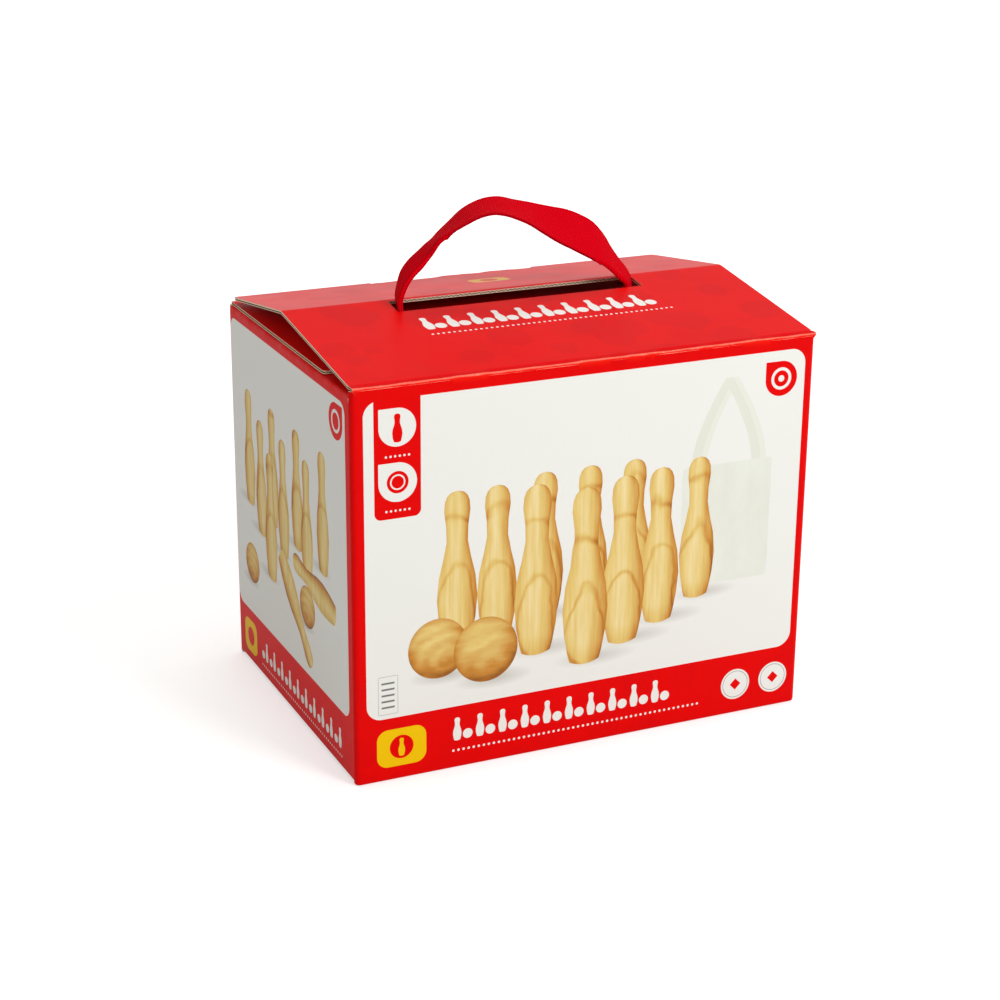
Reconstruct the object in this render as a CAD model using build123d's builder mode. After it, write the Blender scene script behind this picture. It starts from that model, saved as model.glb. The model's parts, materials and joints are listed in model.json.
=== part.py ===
from build123d import *
from math import atan2, cos, degrees, radians, tan
import os

os.makedirs("parts", exist_ok=True)

# A wooden bowling set in its gift carton, in millimetres. The origin is the middle of the carton's base,
# +Z is up, the printed front faces -Y. The carton is sized by what it holds.

# Pins, turned in one piece
pin_height = 172.0
pin_belly = 42.0                 # widest diameter
pin_base = 25.0                  # diameter of the foot
pins_per_row = 5
pin_rows = 2
pin_gap = 2.5                    # between neighbouring bellies
# Half outline above the foot: (share of the pin's height, share of the belly's radius)
pin_outline_shares = [
    (0.05, 0.69), (0.16, 0.88), (0.30, 1.00), (0.44, 0.87), (0.56, 0.60), (0.67, 0.42),
    (0.77, 0.44), (0.87, 0.55), (0.955, 0.44),
]

# Balls
ball_diameter = 60.0
ball_count = 2
ball_spread = 58.0               # from the middle plane to a ball's centre
ball_room = 2.9                  # spare depth around the balls

# Folded cotton bag, standing along the front wall
bag_width = 208.0
bag_height = 150.0
bag_body_thickness = 9.6
bag_corner = 3.5
handle_thickness = 1.6
handle_width = 22.0
handle_spacing = 84.0            # between the two legs of a handle
handle_drop = 62.0               # how far a handle is folded down from the top of the bag
bag_gap = 2.0                    # between the bag and the first row of pins

# Carton board
board = 1.5                      # fluted board
play = 0.3                       # air between pieces that move past each other
side_room = 4.75                 # between an outer pin and its wall
head_room = 11.0                 # above the pins
corner_radius = 2.5              # outside of an upright corner fold
foot_radius = 1.2                # outside of a bottom fold
flap_joint = 1.0                 # gap where the two outer bottom flaps meet
bottom_side_flap = 82.0          # length of the inner bottom flaps
glue_tab_width = 30.0
glue_tab_setback = 8.0           # from the wall's ends to the tab's ends

# Hinge folds along the wall tops, each a rolled bead
fold_radius = 1.3
fold_inset = 0.3                 # from the wall's outer face to the middle of the bead
fold_lift = 0.3                  # from the wall's top edge to the middle of the bead

# Dust flaps, hinged on the side walls
dust_reach = 62.0
dust_setback = 5.0               # from the corner folds to the flap's ends
dust_front_bevel = 26.0          # what the flap's front end draws in over its reach
dust_back_bevel = 50.0

# Inner flap, hinged on the back wall
inner_flap_length = 134.0
inner_flap_inset = 1.0           # from the carton's sides
lock_slot_depth = 10.0
lock_slot_room = 2.0             # beside the lock tab

# Lid, hinged on the front wall and creased into a low ridge
lid_inset = 0.5                  # from the carton's sides
ridge_share = 0.535              # of the carton's depth
ridge_rise = 12.4                # of the lid's underside above its hinge
lid_back_inset = 7.0             # from the back wall's outer face
lid_back_rise = 1.6
lock_tab_width = 90.0
lock_tab_length = 23.0
lock_tab_corner = 8.0

# Carrying strap through the slot below the ridge
slot_length = 129.0
slot_width = 13.5
slot_to_ridge = 2.0
slot_end_room = 2.4              # beyond each leg of the strap
strap_width = 25.0
strap_neck_width = 12.3          # where it is folded to pass the slot
strap_neck_height = 9.0          # above the ridge, where it is at full width again
strap_thickness = 1.7
strap_rise = 44.6                # top of the arch above the ridge
# Middle line of the arch: (share of half its span, share of its rise above the bar ends)
strap_path_shares = [
    (-0.99, 0.42), (-0.80, 0.76), (-0.20, 1.02), (0.42, 0.90), (0.82, 0.68), (1.00, 0.36),
]
strap_bend_shares = [0.9, 0.8, 0.9, 0.8, 0.8, 0.9]   # of half the shorter run beside each bend
bar_length = 24.0
bar_width = 5.0
bar_height = 3.2

# Sizes that follow
pin_pitch = pin_belly + pin_gap
inner_width = pins_per_row * pin_pitch + 2 * side_room
bag_thickness = bag_body_thickness + 2 * handle_thickness
inner_depth = play + bag_thickness + bag_gap + pin_rows * pin_pitch + ball_diameter + ball_room
box_width = inner_width + 2 * board
box_depth = inner_depth + 2 * board
half_width = box_width / 2
half_depth = box_depth / 2
floor_top = 2 * board
dust_level = floor_top + play + pin_height + head_room       # underside of the closed dust flaps
inner_level = dust_level + board + play                      # underside of the closed inner flap
lid_level = inner_level + board + play                       # lid's underside at its hinge
side_wall_top = dust_level - fold_lift
back_wall_top = inner_level - fold_lift
front_wall_top = lid_level - fold_lift
hinge_gap = fold_radius + play                               # from a hinge line to its panel

# Lid geometry, seen from the side
lid_width = box_width - 2 * lid_inset
lid_hinge_y = fold_inset - half_depth
ridge_y = ridge_share * box_depth - half_depth
ridge_level = lid_level + ridge_rise
lid_back_y = half_depth - lid_back_inset
lid_back_level = lid_level + lid_back_rise
front_slope = atan2(ridge_rise, ridge_y - lid_hinge_y)
back_slope = atan2(ridge_level - lid_back_level, lid_back_y - ridge_y)
front_run = (ridge_y - lid_hinge_y) / cos(front_slope)
back_run = (lid_back_y - ridge_y) / cos(back_slope)
slot_middle = front_run - slot_to_ridge - slot_width / 2     # along the slope from the hinge
slot_y = lid_hinge_y + slot_middle * cos(front_slope)
bar_top = lid_level + (slot_y - bar_length / 2 - lid_hinge_y) * tan(front_slope) - play
strap_half_span = slot_length / 2 - slot_end_room - strap_thickness / 2
strap_top = ridge_level + board + strap_rise

# Front and back walls, each with the bends of two upright corners and its hinge bead on top
for name, side, top in (("front", -1, front_wall_top), ("back", 1, back_wall_top)):
    with BuildPart() as end_wall:
        with BuildSketch(Plane.XY):
            RectangleRounded(box_width, box_depth, corner_radius)
            RectangleRounded(inner_width, inner_depth, corner_radius - board, mode=Mode.SUBTRACT)
            with Locations((0, side * (half_depth - corner_radius / 2))):
                Rectangle(box_width, corner_radius, mode=Mode.INTERSECT)
        extrude(amount=top)
        low_edges = end_wall.edges().filter_by(Axis.X).group_by(Axis.Z)[0].sort_by(Axis.Y)
        fillet(low_edges[0 if side < 0 else -1], foot_radius)
        bead = Plane(origin=(0, side * (half_depth - fold_inset), top + fold_lift), z_dir=(1, 0, 0))
        with BuildSketch(bead):
            Circle(fold_radius)
        extrude(amount=half_width - corner_radius, both=True)
    end_wall.part.label = f"{name}_wall"
    export_step(end_wall.part, f"parts/{name}_wall.step")

# Side walls, each with its hinge bead
for name, side in (("left", -1), ("right", 1)):
    wall_x = side * (half_width - board / 2)
    with BuildPart() as side_wall:
        with BuildSketch(Plane.XY.offset(board)):
            with Locations((wall_x, 0)):
                Rectangle(board, box_depth - 2 * corner_radius)
        extrude(amount=side_wall_top - board)
        bead = Plane(origin=(side * (half_width - fold_inset), 0, dust_level), z_dir=(0, 1, 0))
        with BuildSketch(bead):
            Circle(fold_radius)
        extrude(amount=half_depth - corner_radius, both=True)
    side_wall.part.label = f"{name}_wall"
    export_step(side_wall.part, f"parts/{name}_wall.step")

# Glue tab of the left wall, stuck to the inside of the back wall
with BuildPart() as glue_tab:
    tab_x = corner_radius + play - half_width
    tab_low = glue_tab_setback
    tab_high = side_wall_top - glue_tab_setback
    tab_bevel = glue_tab_setback / 2
    with BuildSketch(Plane.XZ.offset(board - half_depth)):
        Polygon(
            (tab_x, tab_low), (tab_x + glue_tab_width, tab_low + tab_bevel),
            (tab_x + glue_tab_width, tab_high - tab_bevel), (tab_x, tab_high),
            align=None,
        )
    extrude(amount=board)
glue_tab.part.label = "glue_tab"
export_step(glue_tab.part, "parts/glue_tab.step")

# Outer bottom flaps, folded from the front and back walls
for name, side in (("front", -1), ("back", 1)):
    flap_length = half_depth - board - flap_joint / 2
    with BuildPart() as outer_flap:
        with BuildSketch(Plane.XY):
            with Locations((0, side * (half_depth - board - flap_length / 2))):
                Rectangle(box_width - 2 * corner_radius, flap_length)
        extrude(amount=board)
    outer_flap.part.label = f"bottom_flap_{name}"
    export_step(outer_flap.part, f"parts/bottom_flap_{name}.step")

# Inner bottom flaps, folded from the side walls and glued on the outer ones
for name, side in (("left", -1), ("right", 1)):
    with BuildPart() as inner_bottom:
        with BuildSketch(Plane.XY.offset(board)):
            with Locations((side * (inner_width - bottom_side_flap) / 2, 0)):
                Rectangle(bottom_side_flap, box_depth - 2 * corner_radius)
        extrude(amount=board)
    inner_bottom.part.label = f"bottom_flap_{name}"
    export_step(inner_bottom.part, f"parts/bottom_flap_{name}.step")

# Dust flaps with bevelled ends
for name, side in (("left", -1), ("right", 1)):
    root_x = half_width - fold_inset - hinge_gap
    tip_x = root_x - dust_reach
    end_y = half_depth - corner_radius - dust_setback
    with BuildPart() as dust_flap:
        with BuildSketch(Plane.XY.offset(dust_level)):
            Polygon(
                (side * root_x, -end_y), (side * root_x, end_y),
                (side * tip_x, end_y - dust_back_bevel), (side * tip_x, dust_front_bevel - end_y),
                align=None,
            )
        extrude(amount=board)
        tips = dust_flap.edges().filter_by(Axis.Z).group_by(Axis.X)[0 if side > 0 else -1]
        fillet(tips, corner_radius)
    dust_flap.part.label = f"dust_flap_{name}"
    export_step(dust_flap.part, f"parts/dust_flap_{name}.step")

# Inner flap, notched at its hinge for the lock tab
with BuildPart() as inner_flap:
    flap_back = half_depth - fold_inset - hinge_gap
    flap_front = half_depth - fold_inset - inner_flap_length
    with BuildSketch(Plane.XY.offset(inner_level)):
        with Locations((0, (flap_back + flap_front) / 2)):
            Rectangle(box_width - 2 * inner_flap_inset, flap_back - flap_front)
        with Locations((0, half_depth - lock_slot_depth / 2)):
            Rectangle(lock_tab_width + 2 * lock_slot_room, lock_slot_depth, mode=Mode.SUBTRACT)
    extrude(amount=board)
    fillet(inner_flap.edges().filter_by(Axis.Z).group_by(Axis.Y)[0], corner_radius)
inner_flap.part.label = "inner_flap"
export_step(inner_flap.part, "parts/inner_flap.step")

# Front half of the lid, with the strap's slot; its sketch lies on the sloping underside
front_plane = Plane(origin=(0, lid_hinge_y, lid_level), z_dir=(0, 0, 1)).rotated((degrees(front_slope), 0, 0))
with BuildPart() as lid_front:
    front_end = front_run - play / 2
    with BuildSketch(front_plane):
        with Locations((0, (hinge_gap + front_end) / 2)):
            Rectangle(lid_width, front_end - hinge_gap)
        with Locations((0, slot_middle)):
            Rectangle(slot_length, slot_width, mode=Mode.SUBTRACT)
    extrude(amount=board)
lid_front.part.label = "lid_front_panel"
export_step(lid_front.part, "parts/lid_front_panel.step")

# Back half of the lid
back_plane = Plane(origin=(0, ridge_y, ridge_level), z_dir=(0, 0, 1)).rotated((-degrees(back_slope), 0, 0))
with BuildPart() as lid_back:
    back_start = play / 2
    with BuildSketch(back_plane):
        with Locations((0, (back_start + back_run) / 2)):
            Rectangle(lid_width, back_run - back_start)
    extrude(amount=board)
    upright = Axis(back_plane.origin, back_plane.z_dir)
    fillet(lid_back.edges().filter_by(upright).group_by(Axis.Y)[-1], corner_radius)
lid_back.part.label = "lid_back_panel"
export_step(lid_back.part, "parts/lid_back_panel.step")

# Lock tab, hanging from the lid's back edge into the notch
with BuildPart() as lock_tab:
    tab_top = lid_back_level - play
    with BuildSketch(Plane.XZ.offset(play - lid_back_y)):
        with Locations((0, tab_top - lock_tab_length / 2)):
            Rectangle(lock_tab_width, lock_tab_length)
    extrude(amount=board)
    fillet(lock_tab.edges().filter_by(Axis.Y).group_by(Axis.Z)[0], lock_tab_corner)
lock_tab.part.label = "lock_tab"
export_step(lock_tab.part, "parts/lock_tab.step")

# Bars on the strap's ends, too long to pass back through the slot
for name, side in (("left", -1), ("right", 1)):
    with BuildPart() as bar:
        with BuildSketch(Plane.XY.offset(bar_top)):
            with Locations((side * strap_half_span, slot_y)):
                SlotOverall(bar_length, bar_width, rotation=90)
        extrude(amount=-bar_height)
        fillet(bar.edges().group_by(Axis.Z)[0], bar_height / 3)
    bar.part.label = f"strap_bar_{name}"
    export_step(bar.part, f"parts/strap_bar_{name}.step")

# Carrying strap, an arch from bar to bar that is folded narrow where it passes the slot
with BuildPart() as strap:
    rise = strap_top - strap_thickness / 2 - bar_top
    corners = [(x * strap_half_span, bar_top + z * rise) for x, z in strap_path_shares]
    points = [(-strap_half_span, bar_top), *corners, (strap_half_span, bar_top)]
    runs = [Vector(b).sub(Vector(a)) for a, b in zip(points, points[1:])]
    bends = []
    for share, run, next_run in zip(strap_bend_shares, runs, runs[1:]):
        half_turn = radians(run.get_angle(next_run)) / 2
        bends.append(share * min(run.length, next_run.length) / 2 / tan(half_turn))
    with BuildLine(Plane.XZ.offset(-slot_y)) as strap_path:
        FilletPolyline(*points, radius=bends)
    with BuildSketch(Plane(origin=strap_path.line @ 0, x_dir=(0, 1, 0), z_dir=strap_path.line % 0)):
        Rectangle(strap_width, strap_thickness)
    sweep()
    neck_top = ridge_level + board + strap_neck_height
    with BuildSketch(Plane.YZ):
        with Locations((slot_y, 0)):
            Polygon(
                (-strap_neck_width / 2, bar_top), (strap_neck_width / 2, bar_top),
                (strap_neck_width / 2, ridge_level + board), (strap_width / 2, neck_top),
                (strap_width / 2, strap_top + strap_rise), (-strap_width / 2, strap_top + strap_rise),
                (-strap_width / 2, neck_top), (-strap_neck_width / 2, ridge_level + board),
                align=None,
            )
    extrude(amount=half_width, both=True, mode=Mode.INTERSECT)
strap.part.label = "carry_strap"
export_step(strap.part, "parts/carry_strap.step")

# Pins, standing in rows behind the bag; the middle ones stand between the inner bottom flaps
first_row_y = board + play + bag_thickness + bag_gap + pin_pitch / 2 - half_depth
flap_edge = inner_width / 2 - bottom_side_flap
for row in range(pin_rows):
    for column in range(pins_per_row):
        pin_x = (column - (pins_per_row - 1) / 2) * pin_pitch
        pin_y = first_row_y + row * pin_pitch
        floor = board if abs(pin_x) + pin_base / 2 < flap_edge else floor_top
        axis_plane = Plane(origin=(pin_x, pin_y, floor + play), x_dir=(1, 0, 0), z_dir=(0, -1, 0))
        number = row * pins_per_row + column + 1
        with BuildPart() as pin:
            with BuildSketch(axis_plane):
                with BuildLine():
                    outline = [(r * pin_belly / 2, z * pin_height) for z, r in pin_outline_shares]
                    foot_line = Line((0, 0), (pin_base / 2, 0))
                    skin = Spline(foot_line @ 1, *outline, (0, pin_height), tangents=[(1, 1), (-1, 0)])
                    Line(skin @ 1, foot_line @ 0)
                make_face()
            revolve(axis=Axis(axis_plane.origin, (0, 0, 1)))
        pin.part.label = f"pin_{number:02d}"
        export_step(pin.part, f"parts/pin_{number:02d}.step")

# Balls, on the floor behind the pins
ball_y = half_depth - board - ball_room / 2 - ball_diameter / 2
for number in range(ball_count):
    ball_x = (2 * number + 1 - ball_count) * ball_spread
    with BuildPart() as ball:
        with Locations((ball_x, ball_y, floor_top + play + ball_diameter / 2)):
            Sphere(ball_diameter / 2)
    ball.part.label = f"ball_{number + 1}"
    export_step(ball.part, f"parts/ball_{number + 1}.step")

# Cotton bag, folded flat
bag_y = board + play + bag_thickness / 2 - half_depth
bag_bottom = floor_top + play
with BuildPart() as bag:
    with BuildSketch(Plane.XY.offset(bag_bottom)):
        with Locations((0, bag_y)):
            RectangleRounded(bag_width, bag_body_thickness, bag_corner)
    extrude(amount=bag_height)
    fillet(bag.faces().sort_by(Axis.Z)[-1].edges(), bag_corner)
bag.part.label = "bag"
export_step(bag.part, "parts/bag.step")

# Bag handles, folded down over the bag's two faces
for name, side in (("front", -1), ("back", 1)):
    with BuildPart() as handle:
        face_y = bag_y + side * bag_body_thickness / 2
        low_z = bag_bottom + bag_height - bag_corner - handle_drop
        loop_width = handle_spacing + handle_width
        with BuildSketch(Plane(origin=(0, face_y, low_z), x_dir=(1, 0, 0), z_dir=(0, -1, 0))):
            with Locations((0, handle_drop / 2)):
                Rectangle(loop_width, handle_drop)
            with Locations((0, (handle_drop + handle_width) / 2)):
                Rectangle(handle_spacing - handle_width, handle_drop - handle_width, mode=Mode.SUBTRACT)
        extrude(amount=-side * handle_thickness)
    handle.part.label = f"bag_handle_{name}"
    export_step(handle.part, f"parts/bag_handle_{name}.step")

print("outside", box_width, box_depth, front_wall_top, "strap top", strap_top)
print("slopes", degrees(front_slope), degrees(back_slope), "ridge", ridge_y, ridge_level)
print("hinges: lid", lid_hinge_y, lid_level, "inner", half_depth - fold_inset, inner_level)
print("dust", half_width - fold_inset, dust_level, "lid back", lid_back_y, lid_back_level)
print("slot y", slot_y, "bar top", bar_top)
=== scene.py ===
import json
from math import copysign, cos, floor, pi, radians, sin

import bmesh
import bpy
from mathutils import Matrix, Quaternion, Vector


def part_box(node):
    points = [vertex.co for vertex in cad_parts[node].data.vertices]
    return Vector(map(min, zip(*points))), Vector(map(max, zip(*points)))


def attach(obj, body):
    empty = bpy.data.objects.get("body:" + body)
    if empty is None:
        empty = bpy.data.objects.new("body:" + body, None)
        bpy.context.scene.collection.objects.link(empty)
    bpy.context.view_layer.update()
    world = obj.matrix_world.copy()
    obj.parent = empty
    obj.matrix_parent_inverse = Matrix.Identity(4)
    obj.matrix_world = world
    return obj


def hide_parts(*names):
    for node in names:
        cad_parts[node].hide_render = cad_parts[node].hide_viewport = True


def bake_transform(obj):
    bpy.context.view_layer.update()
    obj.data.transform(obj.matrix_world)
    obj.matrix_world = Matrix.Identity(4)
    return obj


# A wooden bowling set in its carrying carton: printed fluted board with its folds and flaps, a webbing
# strap, and the turned pins, the balls and the folded cotton bag inside.

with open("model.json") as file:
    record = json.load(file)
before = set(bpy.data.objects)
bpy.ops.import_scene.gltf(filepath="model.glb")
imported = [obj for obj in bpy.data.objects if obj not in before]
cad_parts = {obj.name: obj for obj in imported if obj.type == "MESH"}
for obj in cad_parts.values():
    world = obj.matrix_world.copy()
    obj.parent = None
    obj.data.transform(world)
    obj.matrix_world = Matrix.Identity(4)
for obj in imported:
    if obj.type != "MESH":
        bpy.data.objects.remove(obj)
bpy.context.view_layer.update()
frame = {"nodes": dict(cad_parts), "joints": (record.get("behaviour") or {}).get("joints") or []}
hinge = {joint["name"]: Vector(joint["pos_m"]) for joint in frame["joints"] if joint.get("pos_m")}

mm = 0.001

# Board: a printed liner, the fluted medium and a plain liner
board = 1.5 * mm
liner = 0.34 * mm
medium = 0.26 * mm
flute_pitch = 2.4 * mm
flute_turn = 2 * pi * mm / flute_pitch   # radians in a millimetre across the flutes
steps_per_flute = 6
# Places of a board's materials
printed, plain, cut, fluted = range(4)
one_coat = (0, 0, 0)

# Carton, from its hinge lines
fold_inset = 0.3 * mm
corner_radius = 2.5 * mm
foot_radius = 1.6 * mm
half_width = hinge["dust_flap_right_fold"].x + fold_inset
half_depth = hinge["inner_flap_fold"].y + fold_inset
lid_half_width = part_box("lid_front_panel")[1].x
inner_flap_half_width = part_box("inner_flap")[1].x

# Folds
fold_radius = 0.1 * mm           # inside of a fold
fold_run = 2.4 * mm              # straight board on each side of a bend that belongs to the fold
fold_swell = 0.5 * mm            # how far the board stands out over a fold
fold_crush = 0.4                 # share of its thickness that the board loses in the fold
ridge_radius = 5.0 * mm
crown = 2.0 * mm                 # board between the strap's slot and the ridge
bend_steps = 8
run_steps = 3
strip_step = 1.6 * mm            # between a fold strip's lines
core_inset = 1.6 * liner         # where the flutes of a fold strip begin, under its liners
nub_run = 1.2 * mm               # length at a strip's right end over which it rounds off
nub_steps = 5

# Camera, fitted to the carton's corners
picture_lens = 79.45
picture_eye = Vector((-437.3, -939.5, 470.2)) * mm
picture_aim = Vector((-7.02, 0, 96.75)) * mm
picture_roll = radians(0.49)


def ink(red, green, blue):
    """A printed colour, from its 8-bit screen values."""
    def linear(value):
        share = value / 255
        return share / 12.92 if share < 0.04045 else ((share + 0.055) / 1.055) ** 2.4
    return (linear(red), linear(green), linear(blue), 1)


# ---- Materials ----

class Wire:
    """A socket in a material's nodes. Arithmetic on it adds Math nodes."""

    def __init__(self, tree, socket=None):
        self.tree, self.socket = tree, socket

    def node(self, kind, settings=None, inputs=None, output=0):
        """Any node: its settings are set first, then the values or links of its sockets."""
        made = self.tree.nodes.new(kind)
        for name, value in (settings or {}).items():
            if name == "stops":
                ramp = made.color_ramp
                while len(ramp.elements) < len(value):
                    ramp.elements.new(0)
                for stop, (place, shade) in zip(ramp.elements, value):
                    stop.position = place
                    stop.color = shade if isinstance(shade, tuple) else (shade, shade, shade, 1)
            else:
                setattr(made, name, value)
        for key, value in (inputs or {}).items():
            if isinstance(value, Wire):
                self.tree.links.new(value.socket, made.inputs[key])
            else:
                made.inputs[key].default_value = value
        return Wire(self.tree, made.outputs[output] if made.outputs else None)

    def part(self, name):
        return Wire(self.tree, self.socket.node.outputs[name])

    def math(self, operation, *others, clamp=False):
        values = dict(enumerate((self, *others)))
        return self.node("ShaderNodeMath", {"operation": operation, "use_clamp": clamp}, values)

    def reflected(self, operation, first):
        return self.node("ShaderNodeMath", {"operation": operation}, {0: first, 1: self})

    def __add__(self, other):
        return self.math("ADD", other)

    __radd__ = __add__

    def __sub__(self, other):
        return self.math("SUBTRACT", other)

    def __rsub__(self, other):
        return self.reflected("SUBTRACT", other)

    def __mul__(self, other):
        return self.math("MULTIPLY", other)

    __rmul__ = __mul__

    def __truediv__(self, other):
        return self.math("DIVIDE", other)

    def __rtruediv__(self, other):
        return self.reflected("DIVIDE", other)

    def __pow__(self, other):
        return self.math("POWER", other)

    def __neg__(self):
        return self.math("MULTIPLY", -1)

    def __abs__(self):
        return self.math("ABSOLUTE")

    def sine(self):
        return self.math("SINE")

    def clamp(self):
        return self.math("ADD", 0, clamp=True)

    def sloped(self, slope, rise):
        """Slope times the value plus the rise, kept between 0 and 1."""
        return self.math("MULTIPLY_ADD", slope, rise, clamp=True)

    def highest(self, other):
        return self.math("MAXIMUM", other)

    def lowest(self, other):
        return self.math("MINIMUM", other)


def length_of(a, b):
    return (a * a + b * b).math("SQRT")


def mix(mask, under, over):
    """The colour over where the mask is 1, and under where it is 0."""
    return mask.node("ShaderNodeMix", {"data_type": "RGBA"}, {0: mask, 6: under, 7: over}, 2)


def numbers(place, axes):
    """The numbers of a place along the axes with these letters."""
    parts = place.node("ShaderNodeSeparateXYZ", None, {0: place})
    return [parts.part(letter) for letter in axes]


def noise(place, scale, detail=2, roughness=0.5, stretch=(1, 1, 1)):
    """Soft random values round 0.5, over a place in millimetres."""
    moved = place.node("ShaderNodeMapping", None, {"Vector": place, "Scale": stretch})
    inputs = {"Vector": moved, "Scale": scale, "Detail": detail, "Roughness": roughness}
    return place.node("ShaderNodeTexNoise", None, inputs)


def begin(name):
    """A new material, and the place over the object in millimetres."""
    made = bpy.data.materials.new(name)
    made.use_nodes = True
    made.node_tree.nodes.clear()
    metres = Wire(made.node_tree).node("ShaderNodeTexCoord", None, None, "Object")
    place = metres.node("ShaderNodeVectorMath", {"operation": "SCALE"}, {0: metres, "Scale": 1 / mm})
    return made, place


def laid_flat(place, name):
    """The two numbers of a piece's own flat map, in millimetres."""
    metres = place.node("ShaderNodeUVMap", {"uv_map": name})
    return [number / mm for number in numbers(metres, "XY")]


def finish(made, colour, roughness, height, **fixed):
    """Closes a material with its shader. height is the relief in millimetres."""
    wire = Wire(made.node_tree)
    normal = wire.node("ShaderNodeBump", None, {"Strength": 1.0, "Distance": mm, "Height": height})
    inputs = {"Base Color": colour, "Roughness": roughness, "Normal": normal}
    inputs.update({name.replace("_", " "): value for name, value in fixed.items()})
    shader = wire.node("ShaderNodeBsdfPrincipled", None, inputs)
    wire.node("ShaderNodeOutputMaterial", None, {"Surface": shader})
    return made


# Inks, papers and woods
red_ink = ink(233, 4, 4)
deep_red_ink = ink(200, 2, 16)
white_paper = ink(240, 240, 235)
warm_paper = ink(214, 206, 192)
yellow_ink = ink(247, 200, 10)
grey_ink = ink(120, 120, 118)
wood_light = ink(240, 208, 152)
wood_mid = ink(222, 176, 110)
wood_dark = ink(178, 120, 62)
print_gloss = 0.05               # of the varnish straight on, where 0.5 is clear plastic
lid_gloss = 0.115

# Outline of a turned pin: share of its height, share of the belly's radius
pin_outline = [
    (0.0, 0.56), (0.012, 0.60), (0.05, 0.69), (0.16, 0.88), (0.30, 1.00), (0.44, 0.87), (0.56, 0.60),
    (0.67, 0.42), (0.77, 0.44), (0.87, 0.55), (0.93, 0.51), (0.965, 0.40), (0.988, 0.23), (1.0, 0.0),
]
pin_slimness = 0.136             # belly's radius as a share of the pin's height
print_plumpness = 0.75           # power that makes the printed pins a little stouter at neck and foot
sole_bulge = 0.022               # of a printed pin's foot, as a share of its height
print_edge = 0.16                # softness of a printed edge, in millimetres


def inked(distance):
    """1 inside a printed shape, 0 outside it, from the distance outside its edge."""
    return distance.sloped(-1 / print_edge, 0.5)


def overprint(shade, *shapes):
    """Shapes printed one over the other, each with the distance outside it and its ink."""
    for outside, colour in shapes:
        shade = mix(inked(outside), shade, colour)
    return shade


def disc(x, z, centre_x, centre_z, radius):
    return length_of(x - centre_x, z - centre_z) - radius


def ring(x, z, centre_x, centre_z, radius, half):
    return abs(disc(x, z, centre_x, centre_z, radius)) - half


def panel(x, z, left, right, low, high, corner):
    """Distance outside a rectangle with rounded corners."""
    across = (abs(x - (left + right) / 2) - ((right - left) / 2 - corner)).highest(0)
    upwards = (abs(z - (low + high) / 2) - ((high - low) / 2 - corner)).highest(0)
    return length_of(across, upwards) - corner


def drop(x, z, centre_x, centre_z, radius):
    """Distance outside a disc with one square corner, at its top left."""
    quarter = panel(x, z, centre_x - radius, centre_x, centre_z, centre_z + radius, 0.4)
    return disc(x, z, centre_x, centre_z, radius).lowest(quarter)


def repeat(x, start, pitch, count):
    """Offset from the middle of the nearest of some places in a row."""
    number = ((x - start) / pitch).math("FLOOR").highest(0).lowest(count - 1)
    return x - start - (number + 0.5) * pitch


def pin_distance(across, upwards, height):
    """Distance outside a pin's outline, and how far across the pin from -1 to 1."""
    share = upwards / height
    radius = share.node("ShaderNodeValToRGB", {"stops": pin_outline}, {0: share}) ** print_plumpness
    half = radius * (height * pin_slimness)
    turn = across / half.highest(0.01)
    sole = (1 - turn * turn) * (height * sole_bulge)
    outside = (abs(across) - half).highest(-upwards - sole).highest(upwards - height)
    return outside, turn


def picture_wood(tone, light):
    """Printed wood, lighter where it catches the light."""
    stops = [(0.0, ink(140, 78, 34)), (0.35, ink(206, 142, 62)), (0.7, ink(232, 202, 122)),
             (1.0, ink(252, 236, 190))]
    value = light + (tone - 0.5) * 0.46
    return value.node("ShaderNodeValToRGB", {"stops": stops}, {0: value})


def ground_shadow(under, across, upwards, width, height, strength, colour):
    """A soft oval shadow on the ground of the picture."""
    away = length_of(across / width, upwards / height)
    return mix((1 - away).clamp() * strength, under, colour)


def pin_row(under, place, x, z, start, pitch, count, foot, height):
    """Printed pins side by side, with their shadows."""
    across, above = repeat(x, start, pitch, count), z - foot
    radius = height * pin_slimness
    under = ground_shadow(under, across - radius * 0.5, above - radius * 0.1, radius * 1.9, radius * 0.42,
                          0.42, ink(150, 140, 128))
    outside, turn = pin_distance(across, above, height)
    tone = noise(place, 0.10, 3, 0.6, (4.0, 4.0, 0.28))
    # Arched growth lines where the belly cuts through the rings
    warp = noise(place, 0.05)
    arches = length_of(across * 2.4, above - height * 0.18) * 0.24 + warp * 5
    arches = arches.sine().highest(0) ** 12 * (warp * 0.36)
    light = 0.80 - (turn + 0.20) * (turn + 0.20) * 0.36 - arches
    light = light - (1 - (above / (height * 0.10)).clamp()) * 0.14
    return overprint(under, (outside, picture_wood(tone, light)))


def lying_pin(under, place, x, z, foot_x, foot_z, lean, height):
    """A printed pin that has fallen over, turned by lean degrees from upright."""
    turn = radians(lean)
    across = (x - foot_x) * cos(turn) - (z - foot_z) * sin(turn)
    along = (x - foot_x) * sin(turn) + (z - foot_z) * cos(turn)
    outside, share = pin_distance(across, along, height)
    tone = noise(place, 0.12, 3, 0.6, (3.0, 3.0, 0.6))
    light = 0.76 - (share - 0.25) * (share - 0.25) * 0.42
    return overprint(under, (outside, picture_wood(tone, light)))


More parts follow.
